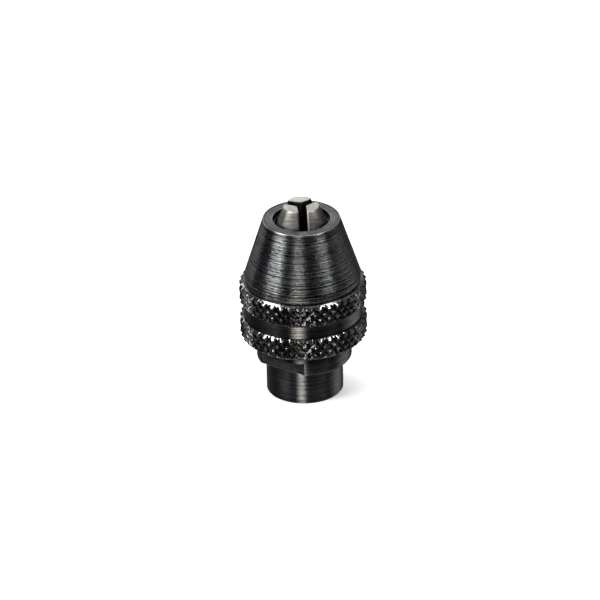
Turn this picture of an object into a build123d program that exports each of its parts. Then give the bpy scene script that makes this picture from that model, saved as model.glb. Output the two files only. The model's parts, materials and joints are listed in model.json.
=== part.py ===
from build123d import *

import math
import os

# A small keyless drill chuck for a rotary tool's spindle, in millimetres.
# +Z runs from the rear face to the nose. The origin is the centre of the rear face, and the chuck
# stands on it. The knurled sleeve and the nose turn together on the spindle body. The nose's inner
# screw thread drives the jaw carrier along the axis, and the nose's inner taper sets the jaws.

# Spindle body: a tube with the spindle thread, a collar with two wrench flats, and a hub.
TUBE_R = 5.25
THREAD_R = 3.6  # the minor radius of the M8 x 0.75 thread, drawn as a plain wall
THREAD_END_Z = 6.6
THREAD_MOUTH = 0.35  # countersink at the thread's mouth
COLLAR_R = 6.5
COLLAR_Z = 5.1
FLATS_TOP_Z = 6.9
FLATS_ACROSS = 11.0
FLATS_ANGLE = 231.0  # direction of the first flat's normal about +Z, from +X
COLLAR_TOP_Z = 9.2
HUB_R = 5.6
HUB_TOP_Z = 12.0
SOCKET_ACROSS = 7.1  # hexagonal socket that keeps the jaw carrier from turning
EDGE = 0.2  # broken edges of turned parts

# Small rings between the hub and the sleeve.
RING_GROOVE_R = 5.05
RING_GROOVE_Z = (10.65, 11.25)
RING_Z = (10.7, 11.2)
RING_R = 6.3
RING_GAP = 40.0  # degrees, the opening of the retaining ring
RING_EAR_R = 0.75
SEAL_GROOVE_R = 5.07
SEAL_GROOVE_Z = (9.5, 10.1)
SEAL_WIRE_R = 0.27
SEAL_CENTRE_R = 5.35
WASHER_R = (5.65, 6.4)

# Knurled sleeve.
SLEEVE_Z = (8.45, 16.75)
SLEEVE_LIP_Z = (9.4, 10.2)
SLEEVE_LIP_R = 5.65
SLEEVE_MOUTH_R = 6.65
SLEEVE_CHAMBER_R = 7.4
SLEEVE_WAIST_R = 8.12
SLEEVE_SHOULDER_R = 8.0
KNURL_CREST_R = 8.7
KNURL_ROOT_R = 8.38
KNURL_EDGE_R = 8.2
KNURL_COLUMNS = 80  # two for each diamond around the sleeve
KNURL_ROWS = 3  # half-diamond rows between the two bevels
KNURL_BEVEL = 0.5
KNURL_BANDS = ((8.5, 11.6), (13.45, 16.65))

# Nose cone.
NOSE_SKIRT_R = 6.45
NOSE_SKIRT_Z = 11.4
NOSE_NECK_R = 7.6
NOSE_RIM_Z = (16.85, 17.65)  # the plain land around the cone's base
NOSE_RIM_R = 7.9
NOSE_FACE_Z = 25.9
NOSE_FACE_R = 5.25
MOUTH_R = 3.9
MOUTH_Z = 25.1
TAPER_TOP_R = 3.6
TAPER_BOTTOM_Z = 20.1
TAPER_ANGLE = 20.0

# Jaw carrier: a threaded disc with three T-slots and a hexagonal tail.
CARRIER_R = 6.4
CARRIER_Z = (14.8, 18.2)
TAIL_ACROSS = 7.0
TAIL_BOTTOM_Z = 9.0
SHANK_BORE_R = 1.8
SLOT_NECK = 1.8
SLOT_HEAD = 3.2
SLOT_HEAD_Z = (16.2, 17.2)

# Jaws, drawn at rest, 0.65 mm out from fully shut.
JAW_ANGLES = (90.0, 210.0, 330.0)
JAW_OFFSET = 0.65
JAW_LAND = 0.1  # from a jaw's sharp apex back to its gripping land
JAW_GAP = 0.03  # between the jaws and the nose's taper
JAW_BOTTOM_Z = 18.25
JAW_SHOULDER_Z = 20.2
JAW_TIP_Z = 27.9
JAW_TIP_EDGE = 0.2
FOOT_NECK = 1.7
FOOT_HEAD = 3.0
FOOT_HEAD_Z = (16.25, 17.15)
FOOT_REACH = 4.2

# Springs that spread the jaws, each in two pockets that face one another.
SPRING_Z = 21.6
SPRING_FROM_APEX = 2.6
POCKET_R = 0.68
POCKET_DEPTH = 0.9
SPRING_R = 0.5
SPRING_WIRE_R = 0.09
SPRING_TURNS = 5.5
SPRING_CLEARANCE = 0.03

CLEAR = 1.0  # how far a cutting shape runs past the solid that it cuts


def turned(points):
    """The solid that a closed outline of (radius, height) points makes about the Z axis."""
    outline = Polyline(*[(r, 0, z) for r, z in points], close=True)
    return revolve(make_face(outline), Axis.Z)


def disc(radius, low, high):
    """A plain cylinder about the Z axis."""
    return turned([(0, low), (radius, low), (radius, high), (0, high)])


def ring(inner, outer, low, high):
    """A plain ring about the Z axis."""
    return turned([(inner, low), (outer, low), (outer, high), (inner, high)])


def hexagon(across, low, high):
    """A hexagonal prism about the Z axis, with its size across the flats."""
    corner_r = across / math.sqrt(3)
    return extrude(Plane.XY.offset(low) * RegularPolygon(corner_r, 6), high - low)


def radial_bar(width, start, end, low, high):
    """A bar along +X that is centred on the X axis."""
    bar = Box(end - start, width, high - low)
    return Pos((start + end) / 2, 0, (low + high) / 2) * bar


def taper_r(z):
    """The nose taper's inner radius at a height."""
    return TAPER_TOP_R + (MOUTH_Z - z) * math.tan(math.radians(TAPER_ANGLE))


def spindle_body():
    profile = [
        (THREAD_R, THREAD_MOUTH),
        (THREAD_R + THREAD_MOUTH, 0),
        (TUBE_R - EDGE, 0),
        (TUBE_R, EDGE),
        (TUBE_R, COLLAR_Z),
        (COLLAR_R, COLLAR_Z),
        (COLLAR_R, COLLAR_TOP_Z),
        (HUB_R, COLLAR_TOP_Z),
        (HUB_R, SEAL_GROOVE_Z[0]),
        (SEAL_GROOVE_R, SEAL_GROOVE_Z[0]),
        (SEAL_GROOVE_R, SEAL_GROOVE_Z[1]),
        (HUB_R, SEAL_GROOVE_Z[1]),
        (HUB_R, RING_GROOVE_Z[0]),
        (RING_GROOVE_R, RING_GROOVE_Z[0]),
        (RING_GROOVE_R, RING_GROOVE_Z[1]),
        (HUB_R, RING_GROOVE_Z[1]),
        (HUB_R, HUB_TOP_Z - EDGE),
        (HUB_R - EDGE, HUB_TOP_Z),
        (0, HUB_TOP_Z),
        (0, THREAD_END_Z),
        (THREAD_R, THREAD_END_Z),
    ]
    body = turned(profile) - hexagon(SOCKET_ACROSS, THREAD_END_Z - CLEAR / 2, HUB_TOP_Z + CLEAR)
    for turn in (FLATS_ANGLE, FLATS_ANGLE + 180):
        half = FLATS_ACROSS / 2
        cutter = radial_bar(3 * COLLAR_R, half, 2 * COLLAR_R, COLLAR_Z - CLEAR, FLATS_TOP_Z)
        body -= Rot(0, 0, turn) * cutter
    return body


def rear_thrust_washer():
    return ring(WASHER_R[0], WASHER_R[1], COLLAR_TOP_Z, SLEEVE_LIP_Z[0])


def drag_o_ring():
    centre_z = sum(SEAL_GROOVE_Z) / 2
    return Pos(0, 0, centre_z) * Torus(SEAL_CENTRE_R, SEAL_WIRE_R)


def front_washer():
    return ring(WASHER_R[0], SLEEVE_CHAMBER_R - 0.1, SLEEVE_LIP_Z[1], SLEEVE_LIP_Z[1] + 0.15)


def disc_spring():
    """A shallow coned washer that takes up the sleeve's end play."""
    thick = 0.15
    outer_z = SLEEVE_LIP_Z[1] + 0.15
    inner_z = RING_Z[0] - thick
    inner, outer = WASHER_R[0] + 0.03, SLEEVE_CHAMBER_R - 0.3
    return turned([(inner, inner_z), (outer, outer_z), (outer, outer_z + thick), (inner, inner_z + thick)])


def retaining_ring():
    """An open circlip with a pierced ear at each end."""
    body = ring(RING_GROOVE_R + 0.05, RING_R, *RING_Z)
    reach = 3 * RING_R
    spread = reach * math.tan(math.radians(RING_GAP / 2))
    gap_outline = Polyline((0, 0), (reach, -spread), (reach, spread), close=True)
    gap = extrude(make_face(gap_outline), CLEAR + RING_Z[1] - RING_Z[0])
    body -= Pos(0, 0, RING_Z[0] - CLEAR / 2) * gap
    for side in (-1, 1):
        place = Rot(0, 0, side * (RING_GAP / 2 + 5)) * Pos(RING_R - 0.1, 0, 0)
        ear = place * disc(RING_EAR_R, *RING_Z)
        hole = place * disc(RING_EAR_R / 2.5, RING_Z[0] - CLEAR, RING_Z[1] + CLEAR)
        body = body + (ear - disc(HUB_R + 0.05, RING_Z[0] - CLEAR, RING_Z[1] + CLEAR)) - hole
    return body


def knurl_band(low, high):
    """A closed band of four-sided pyramids with a bevel at each end."""
    pitch = (high - low - 2 * KNURL_BEVEL) / KNURL_ROWS
    levels = [low]
    levels += [low + KNURL_BEVEL + row * pitch for row in range(KNURL_ROWS + 1)]
    levels += [high]

    def corner(column, level):
        on_edge = level in (0, len(levels) - 1)
        crest = (column + level) % 2 == 0
        radius = KNURL_EDGE_R if on_edge else KNURL_CREST_R if crest else KNURL_ROOT_R
        angle = 2 * math.pi * (column % KNURL_COLUMNS) / KNURL_COLUMNS
        return Vector(radius * math.cos(angle), radius * math.sin(angle), levels[level])

    def flat(*points):
        return Face(Wire.make_polygon(points, close=True))

    faces = []
    for level in range(len(levels) - 1):
        for column in range(KNURL_COLUMNS):
            a = corner(column, level)
            b = corner(column + 1, level)
            c = corner(column + 1, level + 1)
            d = corner(column, level + 1)
            if (column + level) % 2 == 0:
                faces += [flat(a, b, d), flat(b, c, d)]
            else:
                faces += [flat(a, b, c), flat(a, c, d)]
    for level in (0, len(levels) - 1):
        faces.append(flat(*[corner(column, level) for column in range(KNURL_COLUMNS)]))
    return Solid(Shell(faces))


def knurled_sleeve():
    profile = [
        (SLEEVE_MOUTH_R, SLEEVE_Z[0]),
        (SLEEVE_SHOULDER_R, SLEEVE_Z[0]),
        (SLEEVE_WAIST_R, KNURL_BANDS[0][0]),
        (SLEEVE_WAIST_R, KNURL_BANDS[1][1]),
        (SLEEVE_SHOULDER_R, SLEEVE_Z[1]),
        (SLEEVE_MOUTH_R, SLEEVE_Z[1]),
    ]
    sleeve = turned(profile)
    for low, high in KNURL_BANDS:
        sleeve += knurl_band(low, high)
    bore = [
        (0, SLEEVE_Z[0] - CLEAR),
        (SLEEVE_MOUTH_R, SLEEVE_Z[0] - CLEAR),
        (SLEEVE_MOUTH_R, SLEEVE_LIP_Z[0]),
        (SLEEVE_LIP_R, SLEEVE_LIP_Z[0]),
        (SLEEVE_LIP_R, SLEEVE_LIP_Z[1]),
        (SLEEVE_CHAMBER_R, SLEEVE_LIP_Z[1]),
        (SLEEVE_CHAMBER_R, SLEEVE_Z[1] + CLEAR),
        (0, SLEEVE_Z[1] + CLEAR),
    ]
    lip = ring(SLEEVE_LIP_R, SLEEVE_MOUTH_R + EDGE, *SLEEVE_LIP_Z)
    return sleeve + lip - turned(bore)


def nose_cone():
    profile = [
        (NOSE_SKIRT_R, NOSE_SKIRT_Z),
        (SLEEVE_CHAMBER_R, NOSE_SKIRT_Z),
        (SLEEVE_CHAMBER_R, SLEEVE_Z[1]),
        (NOSE_NECK_R, SLEEVE_Z[1]),
        (NOSE_NECK_R, NOSE_RIM_Z[0]),
        (NOSE_RIM_R - EDGE / 2, NOSE_RIM_Z[0]),
        (NOSE_RIM_R, NOSE_RIM_Z[0] + EDGE / 2),
        (NOSE_RIM_R, NOSE_RIM_Z[1]),
        (NOSE_FACE_R + EDGE / 4, NOSE_FACE_Z - EDGE / 2),
        (NOSE_FACE_R - EDGE / 2, NOSE_FACE_Z),
        (MOUTH_R, NOSE_FACE_Z),
        (MOUTH_R, MOUTH_Z),
        (TAPER_TOP_R, MOUTH_Z),
        (taper_r(TAPER_BOTTOM_Z), TAPER_BOTTOM_Z),
        (NOSE_SKIRT_R, TAPER_BOTTOM_Z),
    ]
    return turned(profile)


def jaw_carrier():
    low, high = CARRIER_Z
    profile = [
        (SHANK_BORE_R, low),
        (CARRIER_R, low),
        (CARRIER_R, high),
        (SHANK_BORE_R, high),
    ]
    tail = hexagon(TAIL_ACROSS, TAIL_BOTTOM_Z, low + EDGE)
    carrier = turned(profile) + tail - disc(SHANK_BORE_R, TAIL_BOTTOM_Z - CLEAR, high + CLEAR)
    for angle in JAW_ANGLES:
        neck = radial_bar(SLOT_NECK, 0, CARRIER_R + CLEAR, SLOT_HEAD_Z[0], high + CLEAR)
        head = radial_bar(SLOT_HEAD, 0, CARRIER_R + CLEAR, *SLOT_HEAD_Z)
        carrier -= Rot(0, 0, angle) * (neck + head)
    return carrier


def spring_pocket(side):
    """A blind hole square to one of a jaw's two side faces, in the jaw's own place along +X."""
    along = Vector(math.cos(math.radians(60)), side * math.sin(math.radians(60)), 0)
    inward = Vector(math.sin(math.radians(60)), -side * math.cos(math.radians(60)), 0)
    mouth = along * SPRING_FROM_APEX + Vector(0, 0, SPRING_Z) - inward * CLEAR
    hole = Plane(mouth, z_dir=inward) * Cylinder(
        POCKET_R, POCKET_DEPTH + CLEAR, align=(Align.CENTER, Align.CENTER, Align.MIN)
    )
    return hole


def jaw(angle):
    """One jaw: a 120 degree sector of a cone, with a T-shaped foot below it."""
    slack = JAW_OFFSET + JAW_GAP
    shoulder_r = taper_r(JAW_SHOULDER_Z) - slack
    tip_r = taper_r(JAW_TIP_Z) - slack
    edge_r = taper_r(JAW_TIP_Z - JAW_TIP_EDGE) - slack
    cone = turned([
        (0, JAW_BOTTOM_Z),
        (shoulder_r, JAW_BOTTOM_Z),
        (shoulder_r, JAW_SHOULDER_Z),
        (edge_r, JAW_TIP_Z - JAW_TIP_EDGE),
        (tip_r - JAW_TIP_EDGE / 2, JAW_TIP_Z),
        (0, JAW_TIP_Z),
    ])
    neck = radial_bar(FOOT_NECK, 0, FOOT_REACH, FOOT_HEAD_Z[1] - EDGE, JAW_BOTTOM_Z + EDGE)
    head = radial_bar(FOOT_HEAD, 0, FOOT_REACH, *FOOT_HEAD_Z)
    reach = 3 * shoulder_r
    spread = math.tan(math.radians(60))
    wedge_outline = Polyline(
        (JAW_LAND, -JAW_LAND * spread, 0),
        (reach, -reach * spread, 0),
        (reach, reach * spread, 0),
        (JAW_LAND, JAW_LAND * spread, 0),
        close=True,
    )
    wedge = Pos(0, 0, FOOT_HEAD_Z[0] - CLEAR) * extrude(make_face(wedge_outline), JAW_TIP_Z)
    body = (cone + neck + head) & wedge
    for side in (-1, 1):
        body -= spring_pocket(side)
    return Rot(0, 0, angle) * Pos(JAW_OFFSET, 0, 0) * body


def jaw_spring(angle):
    """A coil spring across the slot that lies 60 degrees on from a jaw."""
    reach = 2 * (JAW_OFFSET * math.sin(math.radians(60)) + POCKET_DEPTH)
    length = reach - 2 * SPRING_WIRE_R - 2 * SPRING_CLEARANCE
    path = Helix(pitch=length / SPRING_TURNS, height=length, radius=SPRING_R)
    section = Plane(origin=path @ 0, z_dir=path % 0) * Circle(SPRING_WIRE_R)
    coil = sweep(section, path=path, is_frenet=True)
    centre_r = SPRING_FROM_APEX + JAW_OFFSET * math.cos(math.radians(60))
    upright = Pos(0, 0, -length / 2) * coil
    return Rot(0, 0, angle + 60) * Pos(centre_r, 0, SPRING_Z) * Rot(90, 0, 0) * upright


def nodes():
    """Every separate piece, by its node's name."""
    made = {
        "spindle_body": spindle_body(),
        "rear_thrust_washer": rear_thrust_washer(),
        "drag_o_ring": drag_o_ring(),
        "knurled_sleeve": knurled_sleeve(),
        "front_washer": front_washer(),
        "disc_spring": disc_spring(),
        "retaining_ring": retaining_ring(),
        "nose_cone": nose_cone(),
        "jaw_carrier": jaw_carrier(),
    }
    for number, angle in enumerate(JAW_ANGLES, start=1):
        made[f"jaw_{number}"] = jaw(angle)
        made[f"jaw_spring_{number}"] = jaw_spring(angle)
    return made


os.makedirs("parts", exist_ok=True)
for name, shape in nodes().items():
    export_step(shape, f"parts/{name}.step")
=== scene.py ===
import json
import math

import bmesh
import bpy
from mathutils import Matrix, Vector


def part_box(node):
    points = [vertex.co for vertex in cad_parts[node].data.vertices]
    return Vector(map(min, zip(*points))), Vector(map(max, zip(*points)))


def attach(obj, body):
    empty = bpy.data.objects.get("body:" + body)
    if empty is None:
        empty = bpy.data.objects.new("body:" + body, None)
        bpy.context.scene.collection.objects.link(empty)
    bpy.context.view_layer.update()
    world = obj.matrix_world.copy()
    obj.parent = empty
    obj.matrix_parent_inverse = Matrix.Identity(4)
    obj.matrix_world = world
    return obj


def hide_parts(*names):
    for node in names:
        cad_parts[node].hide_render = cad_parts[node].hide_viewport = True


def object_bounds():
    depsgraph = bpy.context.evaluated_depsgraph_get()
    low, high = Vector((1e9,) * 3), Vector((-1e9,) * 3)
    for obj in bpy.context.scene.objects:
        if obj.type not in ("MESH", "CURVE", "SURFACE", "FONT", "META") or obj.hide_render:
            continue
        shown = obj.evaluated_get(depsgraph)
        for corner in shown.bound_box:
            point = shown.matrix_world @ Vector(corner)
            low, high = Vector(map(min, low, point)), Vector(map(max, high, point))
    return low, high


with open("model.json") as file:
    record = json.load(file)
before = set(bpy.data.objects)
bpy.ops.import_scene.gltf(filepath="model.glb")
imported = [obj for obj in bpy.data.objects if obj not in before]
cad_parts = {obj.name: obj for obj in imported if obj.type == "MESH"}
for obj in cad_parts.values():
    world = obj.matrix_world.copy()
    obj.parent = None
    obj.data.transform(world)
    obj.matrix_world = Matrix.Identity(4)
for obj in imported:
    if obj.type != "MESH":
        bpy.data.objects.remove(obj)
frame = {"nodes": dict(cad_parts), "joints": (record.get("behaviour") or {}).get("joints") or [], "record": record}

cad_low, cad_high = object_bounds()

MM = 0.001


def extent(node):
    """A node's lowest z, highest z and outer radius in millimetres."""
    low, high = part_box(node)
    radius = max(abs(low[1]), abs(high[1]))
    return low[2] / MM, high[2] / MM, radius / MM


# Everything below is in millimetres in the CAD frame, until a mesh is written in metres.
_, BODY_HIGH, COLLAR_R = extent("spindle_body")
SLEEVE_LOW, SLEEVE_HIGH, CREST_R = extent("knurled_sleeve")
SKIRT_LOW, NOSE_HIGH, NOSE_RIM_R = extent("nose_cone")
MOUNTS = {mount["name"]: mount for mount in frame["record"]["mounts"]}
THREAD_R = MOUNTS["spindle_thread"]["dims"]["r_mm"]
FLAT_NORMAL = Vector(MOUNTS["wrench_flat_a"]["axis"])

# ---------------------------------------------------------------- shader nodes


def node_maker(material):
    """Two helpers that add a node and link two sockets in a material's tree."""
    tree = material.node_tree

    def add(kind, **settings):
        node = tree.nodes.new(kind)
        for key, value in settings.items():
            setattr(node, key, value)
        return node

    return add, tree.links.new


def new_material(name):
    material = bpy.data.materials.new(name)
    material.use_nodes = True
    return material


def shader_of(material):
    """A material's two helpers and its Principled shader."""
    add, link = node_maker(material)
    return add, link, material.node_tree.nodes["Principled BSDF"]


def coordinates(add, kind="Object"):
    """A texture coordinate's vector socket. Object gives the place in the piece, in metres."""
    return add("ShaderNodeTexCoord").outputs[kind]


def components(add, link, vector):
    """The x, y and z sockets of a vector socket."""
    split = add("ShaderNodeSeparateXYZ")
    link(vector, split.inputs["Vector"])
    return split.outputs["X"], split.outputs["Y"], split.outputs["Z"]


def axis_distance(add, link, x, y):
    """How far from the Z axis two coordinate sockets lie."""
    flat = add("ShaderNodeCombineXYZ")
    link(x, flat.inputs["X"])
    link(y, flat.inputs["Y"])
    radius = add("ShaderNodeVectorMath", operation="LENGTH")
    link(flat.outputs["Vector"], radius.inputs[0])
    return radius.outputs["Value"]


def blended(add, link, factor, low, high):
    """A colour between two, by a factor socket."""
    mix = add("ShaderNodeMix", data_type="RGBA")
    mix.inputs["A"].default_value = (*low, 1)
    mix.inputs["B"].default_value = (*high, 1)
    link(factor, mix.inputs["Factor"])
    return mix.outputs["Result"]


def ranged(add, link, value, low, high, out_low=0.0, out_high=1.0):
    """A value socket mapped from one range to another."""
    spread = add("ShaderNodeMapRange")
    spread.inputs["From Min"].default_value = low
    spread.inputs["From Max"].default_value = high
    spread.inputs["To Min"].default_value = out_low
    spread.inputs["To Max"].default_value = out_high
    link(value, spread.inputs["Value"])
    return spread.outputs["Result"]


def inverse(add, link, value):
    """One minus a value socket between 0 and 1."""
    return ranged(add, link, value, 0.0, 1.0, 1.0, 0.0)


def maths(add, link, operation, first, second):
    """Two value sockets, or a socket and a number, put through a maths node."""
    node = add("ShaderNodeMath", operation=operation)
    link(first, node.inputs[0])
    if isinstance(second, (int, float)):
        node.inputs[1].default_value = second
    else:
        link(second, node.inputs[1])
    return node.outputs["Value"]


def facing_up(add, link, first, second):
    """How far a surface faces up or down, from 0 at the first slope to 1 at the second.

    A slope is 0 for an upright wall and 1 for a level face.
    """
    _, _, upward = components(add, link, coordinates(add, "Normal"))
    return ranged(add, link, maths(add, link, "ABSOLUTE", upward, 0), first, second)


# ---------------------------------------------------------------- camera, floor and lights

# Angles are in degrees, and lengths in this section are in metres.
VIEW_AZIMUTH = -6.0
VIEW_ELEVATION = 28.7
VIEW_DISTANCE = 0.66
VIEW_ROLL = -1.35
VIEW_WIDTH = 0.0816  # what the view takes in across, at the object's middle
VIEW_RIGHT = -0.00042  # how far the middle of the view lies from the object's middle
VIEW_UP = -0.0006
SENSOR_WIDTH = 36.0  # millimetres, as the lens
FLOOR_HALF = 0.6
FLOOR_GLOW = 0.22
CARD_ELEVATION = -27  # where the walls' reflections go from this view
CARD_DISTANCE = 0.5
CARD_UP = 0.10
WORLD_DIM = 0.115
WORLD_BELOW = 0.9
MIDDLE = (cad_low + cad_high) / 2


def direction(azimuth, elevation):
    """From the object towards an azimuth and elevation, where azimuth 0 is -Y and 90 is +X."""
    a, e = math.radians(azimuth), math.radians(elevation)
    return Vector((math.sin(a) * math.cos(e), -math.cos(a) * math.cos(e), math.sin(e)))


def aim(thing, place, target):
    """Puts a light or a card at a place and turns it to face a target."""
    thing.location = place
    thing.rotation_euler = (target - place).to_track_quat("-Z", "Y").to_euler()


def make_camera():
    camera = bpy.data.objects.new("camera", bpy.data.cameras.new("camera"))
    bpy.context.collection.objects.link(camera)
    bpy.context.scene.camera = camera
    back = direction(VIEW_AZIMUTH, VIEW_ELEVATION)
    roll = Matrix.Rotation(math.radians(VIEW_ROLL), 3, "Z").to_quaternion()
    turn = (-back).to_track_quat("-Z", "Y") @ roll
    camera.rotation_mode = "QUATERNION"
    camera.rotation_quaternion = turn
    aside = turn @ Vector((VIEW_RIGHT, VIEW_UP, 0))
    camera.location = MIDDLE + aside + back * VIEW_DISTANCE
    camera.data.sensor_width = SENSOR_WIDTH
    camera.data.lens = SENSOR_WIDTH * VIEW_DISTANCE / VIEW_WIDTH
    camera.data.clip_start = 0.01
    camera.data.clip_end = 20.0


def make_light(name, azimuth, elevation, distance, size, watts, colour=(1, 1, 1)):
    """A rectangular soft box that faces the object. size is its width and height in metres."""
    light = bpy.data.lights.new(name, "AREA")
    light.shape = "RECTANGLE"
    light.size, light.size_y = size
    light.energy = watts
    light.color = colour
    box = bpy.data.objects.new(name, light)
    bpy.context.collection.objects.link(box)
    aim(box, MIDDLE + direction(azimuth, elevation) * distance, MIDDLE)


def make_sheet(name, across, up, z=0.0):
    """A level rectangle about the origin, given its half width and half height."""
    mesh = bpy.data.meshes.new(name)
    corners = [(-across, -up, z), (across, -up, z), (across, up, z), (-across, up, z)]
    mesh.from_pydata(corners, [], [(0, 1, 2, 3)])
    sheet = bpy.data.objects.new(name, mesh)
    bpy.context.collection.objects.link(sheet)
    return sheet


def make_floor():
    """A white floor that glows a little and that the metal doesn't reflect."""
    floor = make_sheet("floor", FLOOR_HALF, FLOOR_HALF, cad_low.z)
    material = new_material("floor_white")
    shader = material.node_tree.nodes["Principled BSDF"]
    shader.inputs["Base Color"].default_value = (0.93, 0.93, 0.93, 1)
    shader.inputs["Roughness"].default_value = 0.9
    shader.inputs["Specular IOR Level"].default_value = 0.1
    shader.inputs["Emission Color"].default_value = (1, 1, 1, 1)
    shader.inputs["Emission Strength"].default_value = FLOOR_GLOW
    floor.data.materials.append(material)
    floor.visible_glossy = False


def make_card(name, azimuth, across, strength):
    """A glowing card below the floor, fading to its sides. Only the walls' reflections show it."""
    card = make_sheet(name, across, CARD_UP)
    aim(card, MIDDLE + direction(azimuth, CARD_ELEVATION) * CARD_DISTANCE, MIDDLE)
    material = new_material(f"{name}_glow")
    add, link, shader = shader_of(material)
    shader.inputs["Base Color"].default_value = (0, 0, 0, 1)
    shader.inputs["Emission Color"].default_value = (1.0, 0.95, 0.88, 1)
    x, _, _ = components(add, link, coordinates(add))
    off = maths(add, link, "ABSOLUTE", x, 0)
    glow = ranged(add, link, off, 0.1 * across, across, strength, 0.0)
    link(glow, shader.inputs["Emission Strength"])
    material.cycles.emission_sampling = "NONE"
    card.data.materials.append(material)


def make_world():
    """White to the camera. To the metal it is dim and bluish, and brighter straight below."""
    world = bpy.data.worlds.new("studio")
    world.use_nodes = True
    add, link = node_maker(world)
    background = world.node_tree.nodes["Background"]
    _, _, height = components(add, link, coordinates(add, "Generated"))
    below = ranged(add, link, height, -0.75, -0.88, WORLD_DIM, WORLD_BELOW)
    seen = add("ShaderNodeLightPath").outputs["Is Camera Ray"]
    link(blended(add, link, seen, (0.87, 0.91, 1), (1, 1, 1)), background.inputs["Color"])
    link(maths(add, link, "MAXIMUM", seen, below), background.inputs["Strength"])
    bpy.context.scene.world = world
    bpy.context.scene.view_settings.view_transform = "Standard"


make_camera()
make_floor()
make_world()

NEUTRAL = (1.0, 1.0, 0.98)
WARM = (1.0, 0.96, 0.90)
SOFT = (1.0, 0.98, 0.95)
LIGHTS = (
    # name, azimuth from the view's, elevation, distance, width and height, watts, colour
    ("key_left", -68, 35, 0.55, (0.24, 0.32), 3.3, NEUTRAL),
    ("low_left", -52, 14, 0.60, (0.11, 0.10), 0.60, NEUTRAL),
    ("fill_right", 57, 37, 0.55, (0.15, 0.36), 1.5, NEUTRAL),
    ("rim_right", 95, 6, 0.60, (0.36, 0.10), 0.06),
    ("front_strip", -8, 5, 0.60, (0.23, 0.10), 0.52, WARM),
    ("back_soft", 180, 30, 0.60, (0.45, 0.25), 0.55, SOFT),
    ("rim_left", -128, 6, 0.55, (0.32, 0.10), 0.30),
    ("overhead", 180, 64, 0.60, (0.45, 0.32), 2.6),
)
for name, turn, *settings in LIGHTS:
    make_light(name, VIEW_AZIMUTH + turn, *settings)
make_card("card_front", VIEW_AZIMUTH - 10.5, across=0.122, strength=16.0)
make_card("card_right", VIEW_AZIMUTH + 108, across=0.30, strength=1.7)

# ---------------------------------------------------------------- mesh helpers

SMOOTH_UNDER = math.radians(28)
RING_COLUMNS = 256  # around the nose and the spindle body


def mark_edges(bm):
    """Shades everything smooth but for the edges that turn sharply."""
    for face in bm.faces:
        face.smooth = True
    for edge in bm.edges:
        edge.smooth = len(edge.link_faces) == 2 and edge.calc_face_angle(0) < SMOOTH_UNDER


def finish_mesh(name, bm):
    """Turns a bmesh in millimetres into an object in metres, smooth but for its real edges."""
    bmesh.ops.remove_doubles(bm, verts=bm.verts, dist=1e-5)
    bmesh.ops.dissolve_degenerate(bm, dist=1e-6, edges=bm.edges)
    bmesh.ops.recalc_face_normals(bm, faces=bm.faces)
    bmesh.ops.scale(bm, vec=(MM, MM, MM), verts=bm.verts)
    mark_edges(bm)
    mesh = bpy.data.meshes.new(name)
    bm.to_mesh(mesh)
    bm.free()
    piece = bpy.data.objects.new(name, mesh)
    bpy.context.collection.objects.link(piece)
    return piece


def rounded(outline, steps=4):
    """A closed (radius, height, fillet) outline with each corner that has a fillet rounded off."""
    points = []
    count = len(outline)
    for index, (r, z, fillet) in enumerate(outline):
        here = Vector((r, z))
        if fillet <= 0:
            points.append((r, z))
            continue
        before = Vector(outline[index - 1][:2]) - here
        after = Vector(outline[(index + 1) % count][:2]) - here
        cut = min(fillet, before.length * 0.45, after.length * 0.45)
        start = here + before.normalized() * cut
        end = here + after.normalized() * cut
        for step in range(steps + 1):
            t = step / steps
            point = start * (1 - t) ** 2 + here * 2 * t * (1 - t) + end * t**2
            points.append((point.x, point.y))
    return points


def ring_angles(count, extra=()):
    """Evenly spread column angles about the Z axis, and the extra ones, in order."""
    even = [2 * math.pi * column / count for column in range(count)]
    return sorted(even + [angle % (2 * math.pi) for angle in extra])


def turned(bm, outline, angles, wall=None):
    """Adds the closed ring that an outline of (radius, height) points makes about the Z axis.

    The outline is a list of points, or a function of the angle that returns one. Where wall gives a
    radius for an angle and a height, each face is split along the diagonal that follows it better.
    """
    loops = []
    for angle in angles:
        c, s = math.cos(angle), math.sin(angle)
        points = outline(angle) if callable(outline) else outline
        loops.append([(bm.verts.new((r * c, r * s, z)), r, z) for r, z in points])
    for column, here in enumerate(loops):
        there = loops[(column + 1) % len(loops)]
        step = (angles[(column + 1) % len(angles)] - angles[column]) % (2 * math.pi)
        middle = angles[column] + step / 2
        for row in range(len(here)):
            nxt = (row + 1) % len(here)
            a, b, c, d = here[row], there[row], there[nxt], here[nxt]
            true_r = wall(middle, (a[2] + d[2]) / 2) if wall else None
            if true_r is None:
                bm.faces.new((a[0], b[0], c[0], d[0]))
            elif abs((a[1] + c[1]) / 2 - true_r) < abs((b[1] + d[1]) / 2 - true_r):
                bm.faces.new((a[0], b[0], c[0]))
                bm.faces.new((a[0], c[0], d[0]))
            else:
                bm.faces.new((a[0], b[0], d[0]))
                bm.faces.new((b[0], c[0], d[0]))


def lofted(bm, levels):
    """Adds a closed solid through levels of points, all with the same number of points."""
    rows = [[bm.verts.new(point) for point in level] for level in levels]
    count = len(rows[0])
    for low, high in zip(rows, rows[1:]):
        for index in range(count):
            nxt = (index + 1) % count
            bm.faces.new((low[index], low[nxt], high[nxt], high[index]))
    bm.faces.new(list(reversed(rows[0])))
    bm.faces.new(rows[-1])


def combined(target, tool, operation):
    """Unites or cuts one object with another, which is then deleted."""
    modifier = target.modifiers.new("combine", "BOOLEAN")
    modifier.operation = operation
    modifier.solver = "EXACT"
    modifier.object = tool
    bpy.context.view_layer.update()
    shape = target.evaluated_get(bpy.context.evaluated_depsgraph_get())
    mesh = bpy.data.meshes.new_from_object(shape)
    target.modifiers.clear()
    target.data = mesh
    bpy.data.objects.remove(tool)


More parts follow.
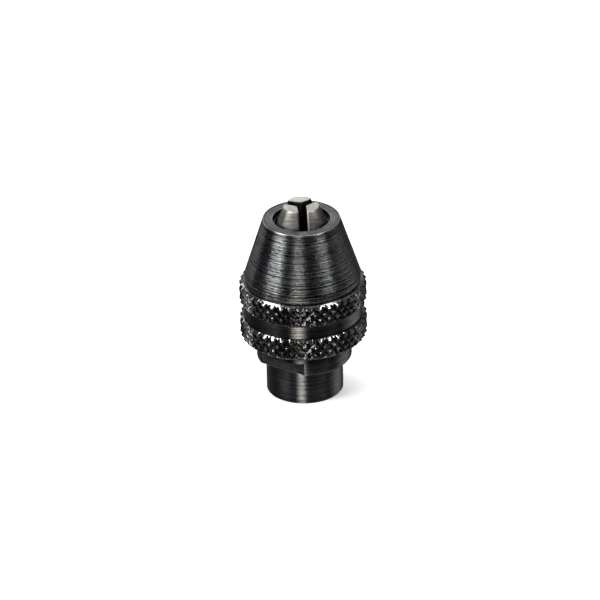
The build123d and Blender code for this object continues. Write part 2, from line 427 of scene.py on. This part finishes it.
def resharpened(piece):
    """Welds a cut mesh and marks its real edges sharp again."""
    bm = bmesh.new()
    bm.from_mesh(piece.data)
    bmesh.ops.remove_doubles(bm, verts=bm.verts, dist=1e-8)
    bmesh.ops.dissolve_degenerate(bm, dist=1e-9, edges=bm.edges)
    mark_edges(bm)
    bm.to_mesh(piece.data)
    bm.free()


# ---------------------------------------------------------------- nose cone

NOSE_FACE_R = 5.25
MOUTH_R = 3.9
MOUTH_DEPTH = 0.8
TAPER_TOP_R = 3.6
TAPER_BOTTOM_R = 5.42
TAPER_BOTTOM_Z = 20.1
CHAMBER_R = 6.45
SKIRT_R = 7.4
NECK_R = 7.6
RIM_Z = (SLEEVE_HIGH + 0.1, SLEEVE_HIGH + 0.9)


def make_nose():
    outline = rounded([
        (CHAMBER_R, SKIRT_LOW, 0.1),
        (SKIRT_R, SKIRT_LOW, 0.1),
        (SKIRT_R, SLEEVE_HIGH, 0),
        (NECK_R, SLEEVE_HIGH, 0),
        (NECK_R, RIM_Z[0], 0.04),
        (NOSE_RIM_R, RIM_Z[0], 0.08),
        (NOSE_RIM_R, RIM_Z[1], 0.05),
        (NOSE_FACE_R, NOSE_HIGH, 0.07),
        (MOUTH_R, NOSE_HIGH, 0.1),
        (MOUTH_R, NOSE_HIGH - MOUTH_DEPTH, 0.05),
        (TAPER_TOP_R, NOSE_HIGH - MOUTH_DEPTH, 0.05),
        (TAPER_BOTTOM_R, TAPER_BOTTOM_Z, 0.1),
        (CHAMBER_R, TAPER_BOTTOM_Z, 0.1),
    ])
    bm = bmesh.new()
    turned(bm, outline, ring_angles(RING_COLUMNS))
    return finish_mesh("turned_nose_cone", bm)


# ---------------------------------------------------------------- knurled sleeve

COLUMNS = 80  # two for each diamond around the sleeve
SAMPLES = 4  # mesh columns in each of those
HALF_ROWS = 3  # half diamonds up a band, between its bevels
ROOT_R = 8.33
POINT = 0.15  # how much of a diamond's width its worn point takes up
BANDS = ((8.5, 11.6, 0.38), (13.45, 16.7, 0.52))  # low end, high end, height of the bevels
BEVEL_SLOPE = 1.1  # how fast the radius falls over a bevel's height
WAIST_R = 8.12
SLEEVE_RIM = 0.12  # how far inside the waist the sleeve's end faces stop
SLEEVE_LIP_R = 5.65
SLEEVE_LIP = (9.4, 10.2)
SLEEVE_MOUTH_R = 6.65


def knurl_height(u, v):
    """0 at the grooves and 1 on a diamond's point. u counts columns and v half diamonds up."""
    p, q = (u + v) / 2, (u - v) / 2
    edge = max(abs(p - round(p)), abs(q - round(q)))
    return min(1.0, (1 - 2 * edge) / (1 - POINT))


def knurl_r(u, z, low, high, bevel):
    """The sleeve's radius in a knurled band, with the bevels at its two ends."""
    pitch = (high - low - 2 * bevel) / HALF_ROWS
    v = 1 + (z - low - bevel) / pitch
    radius = ROOT_R + (CREST_R - ROOT_R) * knurl_height(u, v)
    return min(radius, CREST_R - BEVEL_SLOPE * (bevel - min(z - low, high - z)))


def band_heights(low, high, bevel):
    """The mesh rows of a band, as many to each half diamond as there are columns."""
    step = (high - low - 2 * bevel) / HALF_ROWS / SAMPLES
    heights = [low + bevel + step * row for row in range(-COLUMNS, COLUMNS)]
    return [low] + [z for z in heights if low < z < high] + [high]


def make_sleeve():
    """A ring whose outer wall follows the knurl and whose inner wall holds the lip."""
    inner = rounded([
        (WAIST_R - SLEEVE_RIM, SLEEVE_HIGH, 0.05),
        (SKIRT_R, SLEEVE_HIGH, 0.05),
        (SKIRT_R, SLEEVE_LIP[1], 0),
        (SLEEVE_LIP_R, SLEEVE_LIP[1], 0.05),
        (SLEEVE_LIP_R, SLEEVE_LIP[0], 0.05),
        (SLEEVE_MOUTH_R, SLEEVE_LIP[0], 0),
        (SLEEVE_MOUTH_R, SLEEVE_LOW, 0.05),
        (WAIST_R - SLEEVE_RIM, SLEEVE_LOW, 0.05),
    ])
    rows = [band_heights(*band) for band in BANDS]
    waist = [(WAIST_R, BANDS[0][1]), (WAIST_R, BANDS[1][0])]

    def outline(angle):
        u = COLUMNS * angle / (2 * math.pi)
        lower, upper = [
            [(knurl_r(u, z, *band), z) for z in heights] for band, heights in zip(BANDS, rows)
        ]
        return lower + waist + upper + inner

    def wall(angle, z):
        for band in BANDS:
            if band[0] < z < band[1]:
                return knurl_r(COLUMNS * angle / (2 * math.pi), z, *band)
        return None

    bm = bmesh.new()
    turned(bm, outline, ring_angles(COLUMNS * SAMPLES), wall)
    return finish_mesh("knurled_hand_sleeve", bm)


# ---------------------------------------------------------------- spindle body

TUBE_R = 5.25
COLLAR_Z = 5.1
FLATS_TOP = 6.9
FLAT_HALF = 5.5
FLAT_BREAK = 0.03  # how deep the flats' upright edges are broken
FLAT_COLUMNS = 0.016  # radians from a flat's edge to the columns beside it
COLLAR_TOP = 9.2
HUB_R = 5.6
SOCKET_ACROSS = 7.1
THREAD_PITCH = 0.75
THREAD_DEPTH = 0.4
THREAD_END = 6.6
THREAD_ROWS = 8  # mesh rows in each turn
THREAD_RELIEF = 0.3  # plain wall between the thread and the socket
MOUTH_CHAMFER = 0.35
FLAT_EDGE = math.acos(FLAT_HALF / COLLAR_R)  # from a flat's normal to its upright edges
FACING = math.atan2(FLAT_NORMAL.y, FLAT_NORMAL.x)


def collar_r(angle):
    """The collar's radius through its wrench flats, at an angle from +X."""
    off = abs((angle - FACING + math.pi / 2) % math.pi - math.pi / 2)
    flat = FLAT_HALF / math.cos(off)
    broken = COLLAR_R * math.cos(FLAT_EDGE / 2) - FLAT_BREAK
    return min(COLLAR_R, flat, broken / math.cos(off - FLAT_EDGE / 2))


def socket_r(angle):
    """The radius of the hexagonal socket's wall, at an angle from +X."""
    return SOCKET_ACROSS / 2 / math.cos(angle % (math.pi / 3) - math.pi / 6)


def thread_wall(angle):
    """The spindle thread's wall, from its end down to its mouth."""
    step = THREAD_PITCH / THREAD_ROWS
    top = THREAD_END - THREAD_RELIEF
    wall = []
    for row in range(int((top - MOUTH_CHAMFER) / step)):
        z = top - row * step
        phase = (z / THREAD_PITCH - angle / (2 * math.pi)) % 1
        depth = THREAD_DEPTH * min(1, max(0, 1.3 - 3 * abs(phase - 0.5)))
        wall.append((THREAD_R + depth, z))
    return wall


def body_outline(angle):
    cut = collar_r(angle)
    rear = rounded([
        (THREAD_R, MOUTH_CHAMFER, 0),
        (THREAD_R + MOUTH_CHAMFER, 0, 0.05),
        (TUBE_R, 0, 0.1),
        (TUBE_R, COLLAR_Z, 0.06),
        (cut, COLLAR_Z, 0.12),
        (cut, FLATS_TOP, 0),
        (COLLAR_R, FLATS_TOP + 0.01, 0),
        (COLLAR_R, COLLAR_TOP, 0.1),
        (HUB_R, COLLAR_TOP, 0.05),
        (HUB_R, BODY_HIGH, 0.2),
        (socket_r(angle), BODY_HIGH, 0.1),
        (socket_r(angle), THREAD_END, 0),
    ])
    return rear + thread_wall(angle)


def make_body():
    """The turned body, with extra columns at the flats' edges and the socket's corners."""
    edges = []
    for side in (0, math.pi):
        for off in (FLAT_EDGE - FLAT_COLUMNS, FLAT_EDGE, FLAT_EDGE + FLAT_COLUMNS):
            edges += [FACING + side + off, FACING + side - off]
    edges += [math.pi / 3 * corner + 0.001 for corner in range(6)]
    bm = bmesh.new()
    turned(bm, body_outline, ring_angles(RING_COLUMNS, edges))
    return finish_mesh("turned_spindle_body", bm)


# ---------------------------------------------------------------- jaws

JAW_OFFSET = 0.65  # how far each jaw stands out from the axis at rest
JAW_SLACK = JAW_OFFSET + 0.03  # and the clearance to the taper
JAW_LAND = 0.1
JAW_CORNER = 0.22
JAW_ROOT_Z = 18.25
JAW_SHOULDER_Z = 20.2
JAW_TIP_EDGE = 0.2
NECK_FROM = 0.55  # the foot's neck and head run out from here, beside the jaw's corner
HEAD_FROM = 1.0
FOOT_REACH = 4.2
FOOT_NECK = 1.7  # widths
FOOT_HEAD = 3.0
HEAD_HEIGHT = 0.9
SPRING_Z = 21.6
SPRING_FROM_APEX = 2.6
POCKET_R = 0.68
POCKET_DEPTH = 0.9
WEDGE = math.radians(60)


def taper_r(z):
    """The radius of the nose's inner taper at a height."""
    slope = (TAPER_BOTTOM_R - TAPER_TOP_R) / (NOSE_HIGH - MOUTH_DEPTH - TAPER_BOTTOM_Z)
    return TAPER_TOP_R + slope * (NOSE_HIGH - MOUTH_DEPTH - z)


def sector(radius, inset, z, steps=20):
    """A 120 degree sector about +X with cut corners, its sides drawn in by the inset."""
    apex = inset / math.sin(WEDGE)
    land = JAW_LAND + apex
    start = land - apex
    rim = radius - JAW_CORNER
    along = -apex * math.cos(WEDGE) + math.sqrt(rim**2 - (apex * math.sin(WEDGE)) ** 2)
    side_x, side_y = apex + along * math.cos(WEDGE), along * math.sin(WEDGE)
    swing = math.atan2(side_y, side_x) - JAW_CORNER / radius
    points = [(land, -start * math.tan(WEDGE), z), (side_x, -side_y, z)]
    for step in range(steps + 1):
        angle = -swing + 2 * swing * step / steps
        points.append((radius * math.cos(angle), radius * math.sin(angle), z))
    points += [(side_x, side_y, z), (land, start * math.tan(WEDGE), z)]
    return points


def block_piece(x_range, width, z_range):
    """A plain block along +X, centred on the X axis."""
    bm = bmesh.new()
    bmesh.ops.create_cube(bm, size=1.0)
    size = (x_range[1] - x_range[0], width, z_range[1] - z_range[0])
    bmesh.ops.scale(bm, vec=size, verts=bm.verts)
    middle = (sum(x_range) / 2, 0, sum(z_range) / 2)
    bmesh.ops.translate(bm, vec=middle, verts=bm.verts)
    return finish_mesh("block", bm)


def pocket_piece(side):
    """The blind hole that a jaw spring sits in, square to one of the jaw's side faces."""
    along = Vector((math.cos(WEDGE), side * math.sin(WEDGE), 0))
    inward = Vector((math.sin(WEDGE), -side * math.cos(WEDGE), 0))
    bm = bmesh.new()
    bmesh.ops.create_cone(
        bm, cap_ends=True, segments=32, radius1=POCKET_R, radius2=POCKET_R, depth=2 * POCKET_DEPTH
    )
    turn = Vector((0, 0, 1)).rotation_difference(inward).to_matrix()
    bmesh.ops.rotate(bm, verts=bm.verts, cent=(0, 0, 0), matrix=turn)
    bmesh.ops.translate(bm, vec=along * SPRING_FROM_APEX + Vector((0, 0, SPRING_Z)), verts=bm.verts)
    return finish_mesh("pocket", bm)


def make_jaw(number):
    """One jaw: a cone's third with a T-shaped foot and two spring pockets, turned to its place."""
    node = f"jaw_{number}"
    low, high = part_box(node)
    foot_z, tip_z = low[2] / MM, high[2] / MM
    bm = bmesh.new()
    shoulder_r = taper_r(JAW_SHOULDER_Z) - JAW_SLACK
    tip_r = taper_r(tip_z) - JAW_SLACK
    edge_z = tip_z - JAW_TIP_EDGE
    lofted(bm, [
        sector(shoulder_r, 0, JAW_ROOT_Z),
        sector(shoulder_r, 0, JAW_SHOULDER_Z),
        sector(taper_r(edge_z) - JAW_SLACK, 0, edge_z),
        sector(tip_r - 0.01, 0.02, tip_z - 0.05),
        sector(tip_r - 0.07, 0.06, tip_z),
    ])
    jaw = finish_mesh(f"ground_{node}", bm)
    neck = block_piece((NECK_FROM, FOOT_REACH), FOOT_NECK, (foot_z + 0.5, JAW_ROOT_Z + 0.3))
    combined(jaw, neck, "UNION")
    head_z = (foot_z, foot_z + HEAD_HEIGHT)
    combined(jaw, block_piece((HEAD_FROM, FOOT_REACH - 0.01), FOOT_HEAD, head_z), "UNION")
    for side in (-1, 1):
        combined(jaw, pocket_piece(side), "DIFFERENCE")
    axis = next(j for j in frame["joints"] if j["name"] == f"{node}_slide")["axis"]
    turn = Matrix.Rotation(math.atan2(axis[1], axis[0]), 4, "Z")
    jaw.data.transform(turn @ Matrix.Translation((JAW_OFFSET * MM, 0, 0)))
    resharpened(jaw)
    return jaw


# ---------------------------------------------------------------- materials

# Slopes for facing_up. Each goes from one kind of face to a leaning one.
UPRIGHT = (0.05, 0.25)
LEVEL = (0.985, 0.90)
SHADOW_BLACK = (0.004, 0.004, 0.004)
SHADOW_FADE = 0.25  # the height over which painted shade darkens a wall under an overhang


def noise(add, link, vector, scale, detail, roughness=0.5):
    texture = add("ShaderNodeTexNoise")
    texture.inputs["Scale"].default_value = scale
    texture.inputs["Detail"].default_value = detail
    texture.inputs["Roughness"].default_value = roughness
    link(vector, texture.inputs["Vector"])
    return texture.outputs["Fac"]


def around_axis(add, link, pitch, length):
    """Texture coordinates for lines round the Z axis, a pitch apart and about a length long.

    On sloping and level faces the lines follow the radius too. On upright ones they are straight.
    """
    x, y, z = components(add, link, coordinates(add))
    sloping = facing_up(add, link, *UPRIGHT)
    out = maths(add, link, "MULTIPLY", axis_distance(add, link, x, y), sloping)
    climb = maths(add, link, "ADD", z, out)
    lines = add("ShaderNodeCombineXYZ")
    for value, size, axis in ((x, length, "X"), (y, length, "Y"), (climb, pitch, "Z")):
        link(maths(add, link, "MULTIPLY", value, 1 / (size * MM)), lines.inputs[axis])
    return lines.outputs["Vector"]


def along_axis_sheen(add, link, shader, anisotropy):
    """Spreads the highlights along the Z axis, square to the turning lines."""
    tangent = add("ShaderNodeTangent", direction_type="RADIAL", axis="Z")
    link(tangent.outputs["Tangent"], shader.inputs["Tangent"])
    shader.inputs["Anisotropic"].default_value = anisotropy
    shader.inputs["Anisotropic Rotation"].default_value = 0.25


def turned_metal(name, dark, bright, roughness, pitch, relief, anisotropy, metallic=1.0):
    """Turned metal. Fine and coarse rings run round the Z axis, broken by a light grain."""
    material = new_material(name)
    add, link, shader = shader_of(material)
    fine = noise(add, link, around_axis(add, link, pitch, 60.0), 1.0, 2.0, 0.6)
    coarse = noise(add, link, around_axis(add, link, 4 * pitch, 90.0), 1.0, 2.0)
    grain = noise(add, link, around_axis(add, link, 0.8 * pitch, 6 * pitch), 1.0, 2.0)
    blotch = noise(add, link, coordinates(add), 500.0, 4.0)
    rings = maths(
        add, link, "ADD",
        ranged(add, link, fine, 0.37, 0.63, 0.0, 0.60),
        ranged(add, link, coarse, 0.34, 0.66, 0.0, 0.25),
    )
    lines = maths(add, link, "ADD", rings, ranged(add, link, grain, 0.3, 0.7, -0.15, 0.30))
    colour = blended(add, link, ranged(add, link, lines, 0.2, 0.8), dark, bright)
    link(colour, shader.inputs["Base Color"])
    uneven = ranged(add, link, blotch, 0.3, 0.7, roughness - 0.04, roughness + 0.05)
    link(uneven, shader.inputs["Roughness"])
    bump = add("ShaderNodeBump")
    fading = ranged(add, link, facing_up(add, link, 0.85, 0.98), 0, 1, 1.0, 0.3)
    link(fading, bump.inputs["Strength"])
    bump.inputs["Distance"].default_value = relief * MM
    link(lines, bump.inputs["Height"])
    link(bump.outputs["Normal"], shader.inputs["Normal"])
    along_axis_sheen(add, link, shader, anisotropy)
    shader.inputs["Metallic"].default_value = metallic
    return material


def mixed_in(add, link, shader, factor, colour):
    """Mixes a colour over the one that a shader already has."""
    under = shader.inputs["Base Color"].links[0].from_socket
    mix = add("ShaderNodeMix", data_type="RGBA")
    link(under, mix.inputs["A"])
    mix.inputs["B"].default_value = (*colour, 1)
    link(factor, mix.inputs["Factor"])
    link(mix.outputs["Result"], shader.inputs["Base Color"])


def broken_edge(add, link, low, high):
    """Where a surface slopes more than low to high, but isn't level."""
    return maths(
        add, link, "MULTIPLY",
        facing_up(add, link, low, high),
        facing_up(add, link, *LEVEL),
    )


def edge_wear_and_painted_highlight(material, slope, colour):
    """Brighter uncoated metal, in patches, where an edge is broken: partly real wear, partly a painted highlight
    on the edges.
    """
    add, link, shader = shader_of(material)
    grain = noise(add, link, coordinates(add), 1500.0, 3.0)
    patches = ranged(add, link, grain, 0.3, 0.6, 0.2, 1.0)
    # Painted highlight as well as wear: broken edges get brighter metal so that they shine like lit edges.
    wear_and_highlight = maths(add, link, "MULTIPLY", broken_edge(add, link, slope, slope + 0.1), patches)
    mixed_in(add, link, shader, wear_and_highlight, colour)


def painted_shade_above(material, low, amount):
    """Painted shade: darker above a height, where another piece overhangs the wall."""
    add, link, shader = shader_of(material)
    _, _, z = components(add, link, coordinates(add))
    factor = ranged(add, link, z, low * MM, (low + SHADOW_FADE) * MM, 0.0, amount)
    mixed_in(add, link, shader, factor, SHADOW_BLACK)


def knurled_metal(name, dark, bright, wear_and_highlight_colour, roughness, knurl_roughness):
    """Black steel with turned walls, and lighter metal on the bevels and on the diamonds' points: partly real
    wear, partly painted highlight and glints.
    """
    material = turned_metal(
        name, dark, bright, roughness, pitch=0.15, relief=0.004, anisotropy=0.92
    )
    add, link, shader = shader_of(material)
    place = coordinates(add)
    x, y, _ = components(add, link, place)
    radius = axis_distance(add, link, x, y)
    grain = ranged(add, link, noise(add, link, place, 3000.0, 3.0), 0.3, 0.6)
    crest = ranged(add, link, radius, (CREST_R - 0.07) * MM, (CREST_R - 0.01) * MM)
    chosen = ranged(add, link, noise(add, link, place, 1100.0, 1.0), 0.42, 0.58, 0.0, 0.9)
    bevel = broken_edge(add, link, 0.60, 0.68)
    # Painted highlight and glints as well as wear: the bevels and some diamond points get brighter metal so that
    # they shine.
    wear_and_highlight = maths(add, link, "MAXIMUM", bevel, maths(add, link, "MULTIPLY", crest, chosen))
    mixed_in(add, link, shader, maths(add, link, "MULTIPLY", wear_and_highlight, grain), wear_and_highlight_colour)
    knurl = ranged(add, link, radius, (WAIST_R + 0.1) * MM, (WAIST_R + 0.2) * MM)
    link(ranged(add, link, knurl, 0.0, 1.0, roughness, knurl_roughness), shader.inputs["Roughness"])
    rough = add("ShaderNodeBump")
    rough.inputs["Distance"].default_value = 0.055 * MM
    facets = maths(add, link, "MULTIPLY", knurl, inverse(add, link, bevel))
    dents = maths(add, link, "MULTIPLY", noise(add, link, place, 1500.0, 3.0), facets)
    link(dents, rough.inputs["Height"])
    link(shader.inputs["Normal"].links[0].from_socket, rough.inputs["Normal"])
    link(rough.outputs["Normal"], shader.inputs["Normal"])
    return material


def jaw_metal(name, dark, bright, side, roughness):
    """Ground steel, bright on the tip, with painted shade darkening down the cone into the nose, and black on the
    side faces.
    """
    material = turned_metal(name, dark, bright, roughness, pitch=0.14, relief=0.010, anisotropy=0.5)
    add, link, shader = shader_of(material)
    _, _, z = components(add, link, coordinates(add))
    low, high = (NOSE_HIGH - 1.5) * MM, (NOSE_HIGH + 2.0) * MM
    # Painted shade: sloping faces mix towards black, more so lower down the cone, which keeps the level tips
    # lighter.
    shade = ranged(add, link, z, low, high, 0.89, 0.42)
    cone = maths(add, link, "MULTIPLY", shade, inverse(add, link, facing_up(add, link, 0.4, 0.8)))
    upright = inverse(add, link, facing_up(add, link, *UPRIGHT))
    mixed_in(add, link, shader, maths(add, link, "MAXIMUM", cone, upright), side)
    return material


nose_black = turned_metal(
    "nose_black_oxide", (0.008, 0.0088, 0.0097), (0.134, 0.137, 0.140),
    roughness=0.30, pitch=0.125, relief=0.03, anisotropy=0.9,
)
# Painted highlight on the nose's broken edges, partly wear.
edge_wear_and_painted_highlight(nose_black, 0.42, (0.40, 0.39, 0.37))
body_black = turned_metal(
    "body_black_oxide", (0.024, 0.025, 0.028), (0.083, 0.083, 0.083),
    roughness=0.28, pitch=0.16, relief=0.003, anisotropy=0.92,
)
# Painted highlight on the collar's broken edges, standing in for the floor's reflection, partly wear.
edge_wear_and_painted_highlight(body_black, 0.20, (0.30, 0.29, 0.28))
# Painted shade on the collar's wall under the sleeve.
painted_shade_above(body_black, FLATS_TOP - 0.15, 0.55)
# The sleeve's bevels and diamond points carry painted highlight and glints as well as wear.
sleeve_black = knurled_metal(
    "sleeve_black_oxide", (0.022, 0.0215, 0.022), (0.07, 0.069, 0.067),
    wear_and_highlight_colour=(0.55, 0.54, 0.52), roughness=0.27, knurl_roughness=0.14,
)
jaw_steel = jaw_metal(
    "jaw_ground_steel", (0.21, 0.20, 0.182), (0.43, 0.415, 0.39),
    side=(0.005, 0.005, 0.005), roughness=0.42,
)
carrier_steel = turned_metal(
    "carrier_turned_steel", (0.18, 0.18, 0.18), (0.34, 0.34, 0.34),
    roughness=0.35, pitch=0.15, relief=0.005, anisotropy=0.5,
)
spring_steel = turned_metal(
    "spring_bright_steel", (0.42, 0.42, 0.43), (0.6, 0.6, 0.6),
    roughness=0.25, pitch=0.1, relief=0.002, anisotropy=0.3,
)
bronze = turned_metal(
    "washer_bronze", (0.46, 0.28, 0.12), (0.62, 0.42, 0.22),
    roughness=0.35, pitch=0.12, relief=0.004, anisotropy=0.5,
)
seal_rubber = turned_metal(
    "seal_rubber", (0.015, 0.015, 0.015), (0.035, 0.035, 0.035),
    roughness=0.6, pitch=0.2, relief=0.006, anisotropy=0.0, metallic=0.0,
)

# ---------------------------------------------------------------- the pieces


def placed(piece, body, node, material):
    """Gives a new piece its material and puts it in a CAD node's place."""
    piece.data.materials.clear()
    piece.data.materials.append(material)
    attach(piece, body)
    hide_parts(node)


placed(make_nose(), "sleeve", "nose_cone", nose_black)
placed(make_sleeve(), "sleeve", "knurled_sleeve", sleeve_black)
placed(make_body(), "spindle", "spindle_body", body_black)
for number in (1, 2, 3):
    placed(make_jaw(number), f"jaw_{number}", f"jaw_{number}", jaw_steel)

CARRIED_OVER = {
    "rear_thrust_washer": bronze,
    "drag_o_ring": seal_rubber,
    "front_washer": spring_steel,
    "disc_spring": spring_steel,
    "retaining_ring": spring_steel,
    "jaw_carrier": carrier_steel,
    "jaw_spring_1": spring_steel,
    "jaw_spring_2": spring_steel,
    "jaw_spring_3": spring_steel,
}
for node, material in CARRIED_OVER.items():
    for place in frame["nodes"][node].material_slots:
        place.material = material
